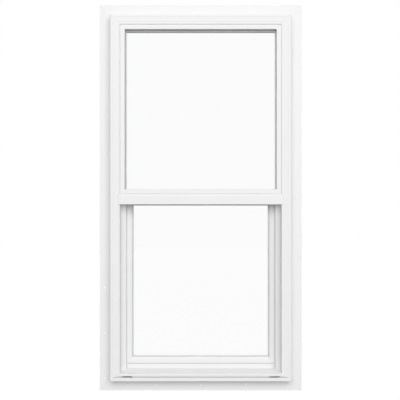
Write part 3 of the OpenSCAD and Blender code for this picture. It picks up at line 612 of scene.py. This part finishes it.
BORE_R = 8.5 * MM
BORE_ROOM = 0.2 * MM
joints = {joint["name"]: joint for joint in frame["joints"]}
for name, side in (("left", -1), ("right", 1)):
    coil_low, coil_high = box("coil_spring_" + name)
    centre = ((coil_low[0] + coil_high[0]) / 2, (coil_low[2] + coil_high[2]) / 2)
    outer = (coil_high[0] - coil_low[0]) / 2
    coil = spiral(centre, coil_low[1], coil_high[1], outer, BORE_R + BORE_ROOM, side)
    hand_over(coil, "wound_spring_" + name, "spring_steel", "coil_" + name, "coil_spring_" + name)
    strip_low, strip_high = box("spring_ribbon_" + name)
    strip = ribbon(strip_low, strip_high, side)
    hung = hand_over(strip, "hung_ribbon_" + name, "spring_steel", "frame", "spring_ribbon_" + name)
    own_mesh(hung)
    print("spring", name, "has", coil.count, "points")

# %% [markdown]
# ## Screws
#
# A screw is one surface of revolution with two things laid on it. On the shank the radius follows a thread:
# with the phase q = z / pitch - a / 2 pi, the ridge stands where q is near a whole number. On the head the
# top sinks inside a cross. Radius and height are arrays over (steps along the outline, angle), so that both
# are one formula each.

# %% Cut the screws
AROUND = 32
THREAD_STEPS = 7


def screw(surface, length, radius, head_r, head_h, seat, way):
    """A pan-head screw. `seat` is the middle of the head's underside and `way` the direction it points in."""
    a = np.linspace(0, 2 * math.pi, AROUND, endpoint=False)
    pitch = radius * 0.75
    top_r = head_r * np.sin(np.linspace(0.02, 1, 14) * math.pi / 2)
    top_z = head_h * (1 - (top_r / head_r) ** 4 * 0.45)
    shank_z = -np.linspace(0, length, int(THREAD_STEPS * length / pitch))
    taper = np.clip((length + shank_z) / (2.2 * radius), 0.03, 1)
    r = np.concatenate([top_r, [head_r, head_r * 0.97], shank_z * 0 + radius * taper])
    z = np.concatenate([top_z, [head_h * 0.15, 0.0], shank_z])
    r = np.repeat(r[:, None], AROUND, 1)
    z = np.repeat(z[:, None], AROUND, 1)
    phase = z / pitch - a[None, :] / (2 * math.pi)
    ridge = np.clip(1 - 3.2 * np.abs(phase - np.round(phase)), 0, 1)
    shank = (z < -pitch)
    r = np.where(shank, r * (0.76 + 0.24 * ridge), r)
    x_flat, y_flat = r * np.cos(a), r * np.sin(a)
    in_cross = (np.minimum(np.abs(x_flat), np.abs(y_flat)) < head_r * 0.14) & (r < head_r * 0.55)
    z = np.where(in_cross & (z > head_h * 0.3), z - head_h * 0.55, z)
    way = np.array(way, float)
    side = np.array([0, 0, 1.0]) if abs(way[2]) < 0.5 else np.array([1.0, 0, 0])
    third = np.cross(way, side)
    points = np.array(seat) + x_flat[..., None] * side + y_flat[..., None] * third - z[..., None] * way
    surface.grid(points, columns_close=True, caps=True)


def screw_set(name, node, length, radius, head_r, head_h, seats, body):
    """Several screws that share a construction node."""
    made = Surface()
    for seat, way in seats:
        screw(made, length, radius, head_r, head_h, seat, way)
    hand_over(made, name, "plated_steel", body, node)
    print(name, "has", len(seats), "screws and", made.count, "points")


rail_screw_low, rail_screw_high = box("meeting_rail_screws")
RAIL_SHANK, RAIL_SHANK_R = 53 * MM, 1.6 * MM
RAIL_HEAD_R, RAIL_HEAD_H = 4.0 * MM, 2.2 * MM
SMALL_R = 1.5 * MM
rail_y = (rail_screw_low[1] + rail_screw_high[1]) / 2
rail_x = rail_screw_high[0] - RAIL_HEAD_H
rail_z = (rail_screw_low[2] + RAIL_HEAD_R, rail_screw_high[2] - RAIL_HEAD_R)
screw_set("rail_screws", "meeting_rail_screws", RAIL_SHANK, RAIL_SHANK_R, RAIL_HEAD_R, RAIL_HEAD_H, [
    ((side * rail_x, rail_y, z), (-side, 0, 0)) for side in (-1, 1) for z in rail_z], "frame")

keeper_low, keeper_high = box("keeper_screws")
KEEPER_HEAD_R, KEEPER_HEAD_H = 2.8 * MM, 1.6 * MM
keeper_z = (keeper_low[2] + keeper_high[2]) / 2
screw_set("keeper_fixings", "keeper_screws", 9 * MM, SMALL_R, KEEPER_HEAD_R, KEEPER_HEAD_H, [
    ((x, keeper_high[1] - KEEPER_HEAD_H, keeper_z), (0, -1, 0))
    for x in (keeper_low[0] + KEEPER_HEAD_R, keeper_high[0] - KEEPER_HEAD_R)], "frame")

lock_low, lock_high = box("lock_screws")
LOCK_HEAD_R, LOCK_HEAD_H = 2.9 * MM, 1.8 * MM
lock_y = (lock_low[1] + lock_high[1]) / 2
screw_set("lock_fixings", "lock_screws", 18 * MM, SMALL_R, LOCK_HEAD_R, LOCK_HEAD_H, [
    ((x, lock_y, lock_high[2] - LOCK_HEAD_H), (0, 0, -1))
    for x in (lock_low[0] + LOCK_HEAD_R, lock_high[0] - LOCK_HEAD_R)], "sash")

bracket_low, bracket_high = box("bracket_screws")
BRACKET_HEAD_R, BRACKET_HEAD_H = 2.6 * MM, 1.4 * MM
bracket_z = (bracket_low[2] + bracket_high[2]) / 2
bracket_x = bracket_high[0] - BRACKET_HEAD_H
screw_set("bracket_fixings", "bracket_screws", 14 * MM, SMALL_R, BRACKET_HEAD_R, BRACKET_HEAD_H, [
    ((side * bracket_x, y, bracket_z), (-side, 0, 0))
    for side in (-1, 1) for y in (bracket_low[1] + BRACKET_HEAD_R, bracket_high[1] - BRACKET_HEAD_R)], "sash")

coil_low, coil_high = box("coil_screws")
COIL_HEAD_R, COIL_HEAD_H = 2.4 * MM, 1.2 * MM
cart_x = box("coil_housing_right")[0][0]
coil_y, coil_z = (coil_low[1] + coil_high[1]) / 2, (coil_low[2] + coil_high[2]) / 2
screw_set("coil_fixings", "coil_screws", coil_high[0] - cart_x, SMALL_R, COIL_HEAD_R, COIL_HEAD_H, [
    ((side * cart_x, coil_y, coil_z), (side, 0, 0)) for side in (-1, 1)], "frame")

# %% [markdown]
# ## Pile
#
# A pile strip is a woven backing with a dense row of fibres. Each fibre is a thin spike on three base
# points, and all of them are made at once: arrays of base places, of random leans and of lengths, drawn
# from a seeded generator.

# %% Grow the pile
FIBRE_STEP = 0.8 * MM
FIBRE_R = 0.22 * MM
FIBRE_ROWS = 5
FIBRE_JITTER = 0.3 * MM
FIBRE_LEAN = 0.25 * MM
FIBRE_ROOT = 0.2 * MM
END_ROOM = 0.5 * MM
BACKING_ROUND = 0.25 * MM
BACKING = 2.2 * MM
CATCH_BACKING = 0.5 * MM
rng = np.random.default_rng(7)


def pile(name, node, body, axis, out, backing_deep):
    """A pile strip along axis 0 or 2 whose fibres stand along Y; out is -1 outdoors and 1 indoors."""
    low, high = box(node)
    cross = 2 - axis
    back = high[1] if out < 0 else low[1]
    tip = low[1] if out < 0 else high[1]
    foot = back + out * backing_deep
    strip = Surface()
    band_low, band_high = low[cross], high[cross]
    shoulder = (band_high - band_low) * 0.18
    near, far = sorted((back, foot))
    if cross == 2:
        backing = round_rect((near, band_low), (far, band_high), BACKING_ROUND)
    else:
        backing = round_rect((band_low, near), (band_high, far), BACKING_ROUND)
    strip.grid(along(axis, [low[axis], high[axis]], backing), columns_close=True, caps=True)
    places = np.arange(low[axis] + END_ROOM, high[axis] - END_ROOM, FIBRE_STEP)
    rows = np.linspace(band_low + shoulder, band_high - shoulder, FIBRE_ROWS)
    base_along, base_cross = (a.ravel() for a in np.meshgrid(places, rows))
    count = len(base_along)
    base_along = base_along + rng.uniform(-1, 1, count) * FIBRE_JITTER
    turn = rng.uniform(0, 2 * math.pi, count)
    reach = (tip - foot) * rng.uniform(0.86, 1.0, count)
    lean = rng.uniform(-1, 1, (count, 2)) * FIBRE_LEAN
    points = np.empty((count, 4, 3))
    for corner in range(3):
        a = turn + corner * 2 * math.pi / 3
        points[:, corner, axis] = base_along + FIBRE_R * np.cos(a)
        points[:, corner, cross] = base_cross + FIBRE_R * np.sin(a)
        points[:, corner, 1] = foot - out * FIBRE_ROOT
    points[:, 3, axis] = base_along + lean[:, 0]
    points[:, 3, cross] = base_cross + lean[:, 1]
    points[:, 3, 1] = foot + reach
    edges = points[:, 1:] - points[:, :1]
    swap = (edges[:, 0] * np.cross(edges[:, 1], edges[:, 2])).sum(1) < 0
    points[swap, 1], points[swap, 2] = points[swap, 2].copy(), points[swap, 1].copy()
    first = np.arange(count)[:, None] * 4
    faces = np.concatenate([first + np.array(c) for c in ((0, 2, 1), (0, 1, 3), (1, 2, 3), (2, 0, 3))])
    strip.add(points.reshape(-1, 3), faces.tolist())
    hand_over(strip, name, "grey_pile", body, node)
    return count


fibres_grown = pile("catch_pile", "meeting_rail_pile", "frame", 0, 1, CATCH_BACKING)
for name in ("left", "right"):
    fibres_grown += pile("front_pile_" + name, "stile_pile_front_" + name, "sash", 2, -1, BACKING)
    fibres_grown += pile("rear_pile_" + name, "stile_pile_rear_" + name, "sash", 2, 1, BACKING)
print("fibres:", fibres_grown)

# %% [markdown]
# ## Bulb seal under the sash
#
# The bulb is a hollow tube on a flat root, so that it can squash on the sill. The outer and the inner
# outline are swept together: out along the outer one and back along the inner one, which closes both ends
# with a ring.

# %% Blow the bulb
BULB_WALL = 0.6 * MM
BULB_NARROWER = 0.8 * MM
BULB_SUNK = 0.2 * MM
ROOT_DEEP = 2.2 * MM
ROOT_ROUND = 0.5 * MM
bulb_low, bulb_high = box("sill_bulb_seal")


def bulb_outline(inset):
    """A D: round below, flat above, shrunk by an inset."""
    y0, y1 = bulb_low[1] + BULB_NARROWER + inset, bulb_high[1] - BULB_NARROWER - inset
    z0, z1 = bulb_low[2] + inset, bulb_high[2] - ROOT_DEEP - inset * 0.4
    a = np.radians(np.linspace(180, 360, 19))
    middle, half = (y0 + y1) / 2, (y1 - y0) / 2
    belly = np.stack([middle + half * np.cos(a), z1 + (z1 - z0) * np.sin(a)], -1)
    roof = [[y1 - half / 2, z1 + BULB_SUNK], [y0 + half / 2, z1 + BULB_SUNK]]
    return np.concatenate([belly, roof])


bulb = Surface()
outer_rows = along(0, [bulb_low[0], bulb_high[0]], bulb_outline(0))
inner_rows = along(0, [bulb_high[0], bulb_low[0]], bulb_outline(BULB_WALL))
bulb.grid(np.concatenate([outer_rows, inner_rows]), rows_close=True, columns_close=True)
root = round_rect((bulb_low[1], bulb_high[2] - ROOT_DEEP), (bulb_high[1], bulb_high[2]), ROOT_ROUND)
bulb.grid(along(0, [bulb_low[0], bulb_high[0]], root), columns_close=True, caps=True)
hand_over(bulb, "bulb_seal", "grey_gasket", "sash", "sill_bulb_seal")
print("bulb seal:", bulb.count, "points")

# %% [markdown]
# ## Lever of the lock
#
# The lever is a casting with no sharp edge. At each place along it the section is a superellipse, |y / b|^n
# + |z / c|^n = 1, whose half width b follows the hub's circle, a slim arm and the finger end's circle, and
# whose height swells at the hub and at the finger tab.

# %% Cast the lever
lever_low, lever_high = box("lock_lever")
pivot = np.array(joints["lock_turn"]["pos_m"])
HUB_R = lever_high[0]
END_R = 6.0 * MM
ARM_HALF, ARM_GROWTH = 4.2 * MM, 2.0 * MM
LEAST_HALF = 0.15 * MM
HUB_SWELL = 9 * MM
TAB_BACK, TAB_SWELL = 4.5 * MM, 2.2 * MM
EXPONENT = 3.0


def lever_width(x):
    """Half width: hub and finger end are circles, joined by an arm that tapers."""
    end_x = lever_low[0] + END_R
    hub = np.sqrt(np.clip(HUB_R**2 - x**2, 0, None))
    end = np.sqrt(np.clip(END_R**2 - (x - end_x) ** 2, 0, None))
    share = np.clip((x - end_x) / (0 - end_x), 0, 1)
    arm = np.where((x > end_x) & (x < 0), ARM_HALF + ARM_GROWTH * share, 0)
    return np.maximum(np.maximum(hub, end), np.maximum(arm, LEAST_HALF))


def lever_height(x):
    """Height: swollen over the hub, with a tab to pull near the end."""
    tab_x = lever_low[0] + TAB_BACK
    full = lever_high[2] - lever_low[2]
    over_hub = np.exp(-((x / HUB_SWELL) ** 2))
    at_tab = np.exp(-(((x - tab_x) / TAB_SWELL) ** 2))
    return full * (0.60 + 0.12 * over_hub + 0.38 * at_tab)


turn = np.linspace(0, math.pi, 90)
x = (lever_low[0] + HUB_R) / 2 + (HUB_R - lever_low[0]) / 2 * np.cos(turn)
b, c = lever_width(x)[:, None], lever_height(x)[:, None] / 2
a = np.linspace(0, 2 * math.pi, 40, endpoint=False)[None, :]
power = 2 / EXPONENT
y_round = b * np.sign(np.cos(a)) * np.abs(np.cos(a)) ** power
z_round = c * (1 + np.sign(np.sin(a)) * np.abs(np.sin(a)) ** power)
lever = Surface()
x_round = np.broadcast_to(x[:, None], y_round.shape)
lever.grid(np.stack([x_round, pivot[1] + y_round, lever_low[2] + z_round], -1), columns_close=True, caps=True)
hand_over(lever, "cast_lever", "white_enamel", "lock", "lock_lever")
print("lever:", lever.count, "points")

# %% [markdown]
# ## Weld seams
#
# Where two lengths are welded, the machine leaves a low bead that is trimmed to a faint ridge along the
# mitre. It is a strip with a lens section whose ends taper away: height h(s) = H sin(pi s)^0.25 along the
# seam.

# %% Lay the weld seams
SEAM_W, SEAM_H = 0.5 * MM, 0.10 * MM
SEAM_STEPS, SEAM_SIDES = 24, 10
BEAD_OVERLAP = 1.2 * MM
FRAME_SEAM = (3 * MM, 9 * MM)
BEAD_SEAM = (-22 * MM, -10 * MM)
SASH_SEAM = (4.5 * MM, 18 * MM)


def seam(surface, start, end, y):
    """A low ridge on the plane y from one (x, z) to another."""
    start, end = np.array(start, float), np.array(end, float)
    step = (end - start) / np.linalg.norm(end - start)
    across = np.array([-step[1], step[0]])
    s = np.linspace(0, 1, SEAM_STEPS)
    swell = np.sin(math.pi * np.clip(s, 0.002, 0.998)) ** 0.25
    ring = np.linspace(0, 2 * math.pi, SEAM_SIDES, endpoint=False)
    flat = start + (end - start) * s[:, None]
    points = np.empty((len(s), len(ring), 3))
    wide = np.cos(ring)[None, :] * SEAM_W * swell[:, None]
    points[..., 0] = flat[:, None, 0] + across[0] * wide
    points[..., 2] = flat[:, None, 1] + across[1] * wide
    points[..., 1] = y - np.sin(ring)[None, :] * SEAM_H * swell[:, None]
    surface.grid(points, columns_close=True, caps=True)


def corner_seams(surface, corner_x, corner_z, reach, way, y):
    """Seams along the mitres of both upper corners (way -1) or both lower ones (way 1)."""
    near, far = reach
    for side in (-1, 1):
        start = (side * (corner_x - near), corner_z + way * near)
        end = (side * (corner_x - far), corner_z + way * far)
        seam(surface, start, end, y)


frame_half = rail_screw_high[0] - RAIL_HEAD_H
frame_top = frame_half - head_high[0] + head_high[2]
bead_half = -box("upper_bead_left")[0][0] - BEAD_OVERLAP
bead_top = box("upper_bead_top")[1][2] - BEAD_OVERLAP
seams = Surface()
corner_seams(seams, frame_half, frame_top, FRAME_SEAM, -1, face_y)
corner_seams(seams, bead_half, bead_top, BEAD_SEAM, -1, face_y)
hand_over(seams, "frame_welds", "white_vinyl", "frame", material=vinyl_x)

sash_y = box("sash_bottom_rail")[0][1]
sash_seams = Surface()
corner_seams(sash_seams, sash_high[0], sash_low[2], SASH_SEAM, 1, sash_y)
hand_over(sash_seams, "sash_welds", "white_vinyl", "sash", material=vinyl_x)
print("weld seams:", seams.count + sash_seams.count, "points")

# %% [markdown]
# ## Light
#
# A large soft lamp stands eight metres in front of the window, a little to the right, with its lower edge
# near the height of the window's middle. It leaves a short shadow beside the frame, a longer one below it
# and none above it, and the recess of the sliding sash goes from dark to light below the meeting rail. Being
# far, the lamp lights evenly from top to bottom, and being wide, it softens the shadows. A weaker lamp behind
# shows the indoor side. A dim room fills the rest, and is plain white to the camera and in mirrors, so that
# the glass stays clear.

# %% Light the room
ROOM_LOW, ROOM_HIGH = 0.39, 0.40
ROOM_MIRRORED = 0.97
KEY_PLACE = (0.9, -8.2, 3.7)
KEY_SIZE = (10.5, 7.0)
KEY_WATTS = 820
BACK_PLACE = (-2.4, 7.2, 4.6)
BACK_SIZE = (7.0, 6.0)
BACK_WATTS = 560


def room():
    """A world that is white to the camera and to mirrors, and dim to all else, a little brighter upwards."""
    world = bpy.data.worlds.new("room")
    world.use_nodes = True
    tree = world.node_tree
    tree.nodes.clear()
    output = tree.nodes.new("ShaderNodeOutputWorld")
    way = tree.nodes.new("ShaderNodeTexCoord")
    apart = tree.nodes.new("ShaderNodeSeparateXYZ")
    ramp = tree.nodes.new("ShaderNodeMapRange")
    rays = tree.nodes.new("ShaderNodeLightPath")
    mirrored = tree.nodes.new("ShaderNodeMix")
    seen = tree.nodes.new("ShaderNodeMix")
    light = tree.nodes.new("ShaderNodeBackground")
    for name, value in (("From Min", -1.0), ("From Max", 1.0), ("To Min", ROOM_LOW), ("To Max", ROOM_HIGH)):
        ramp.inputs[name].default_value = value
    mirrored.inputs[3].default_value = ROOM_MIRRORED
    seen.inputs[3].default_value = 1.0
    light.inputs["Color"].default_value = (1, 1, 1, 1)
    tree.links.new(way.outputs["Generated"], apart.inputs[0])
    tree.links.new(apart.outputs["Z"], ramp.inputs["Value"])
    tree.links.new(rays.outputs["Is Glossy Ray"], mirrored.inputs[0])
    tree.links.new(ramp.outputs[0], mirrored.inputs[2])
    tree.links.new(rays.outputs["Is Camera Ray"], seen.inputs[0])
    tree.links.new(mirrored.outputs[0], seen.inputs[2])
    tree.links.new(seen.outputs[0], light.inputs["Strength"])
    tree.links.new(light.outputs[0], output.inputs[0])
    return world


def lamp(name, place, target, size, watts):
    """A soft lamp, wide and tall, that faces a target and shows in no mirror."""
    data = bpy.data.lights.new(name, "AREA")
    data.shape = "RECTANGLE"
    data.size, data.size_y = size
    data.energy = watts
    lamp_object = bpy.data.objects.new(name, data)
    way = np.array(target, float) - np.array(place, float)
    lamp_object.location = place
    flat = math.hypot(way[0], way[1])
    lamp_object.rotation_euler = (math.atan2(flat, -way[2]), 0, math.atan2(way[1], way[0]) - math.pi / 2)
    lamp_object.visible_glossy = False
    bpy.context.scene.collection.objects.link(lamp_object)
    return lamp_object


bpy.context.scene.world = room()
key = lamp("key", KEY_PLACE, (0, 0, 0), KEY_SIZE, KEY_WATTS)
back = lamp("back", BACK_PLACE, (0, 0, 0), BACK_SIZE, BACK_WATTS)
print("lamps:", key.name, back.name)

# %% Stage the floor
FLOOR_DROP = 20 * MM
FLOOR_REACH = 8.0
FLOOR_GLOW = 0.985


def floor_paint():
    """Plain white floor paint that reads as white in any light."""
    g = Graph("floor_paint")
    g.set(
        Base_Color=(0.02, 0.02, 0.02, 1),
        Roughness=1.0,
        Specular_IOR_Level=0.0,
        Emission_Color=(1, 1, 1, 1),
        Emission_Strength=FLOOR_GLOW,
    )
    return g.material


floor_z = cad_box[0][2] - FLOOR_DROP
reach = np.linspace(-FLOOR_REACH, FLOOR_REACH, 9)
spots = np.stack(np.meshgrid(reach, reach), -1)
ground = Surface()
ground.grid(np.concatenate([spots, np.full(spots.shape[:2] + (1,), floor_z)], -1))
floor = ground.make("floor", floor_paint())
floor.visible_diffuse = False
floor.visible_glossy = False
print("floor at z =", round(floor_z, 3))

scene = bpy.context.scene
scene.view_settings.view_transform = "Standard"
scene.view_settings.look = "None"
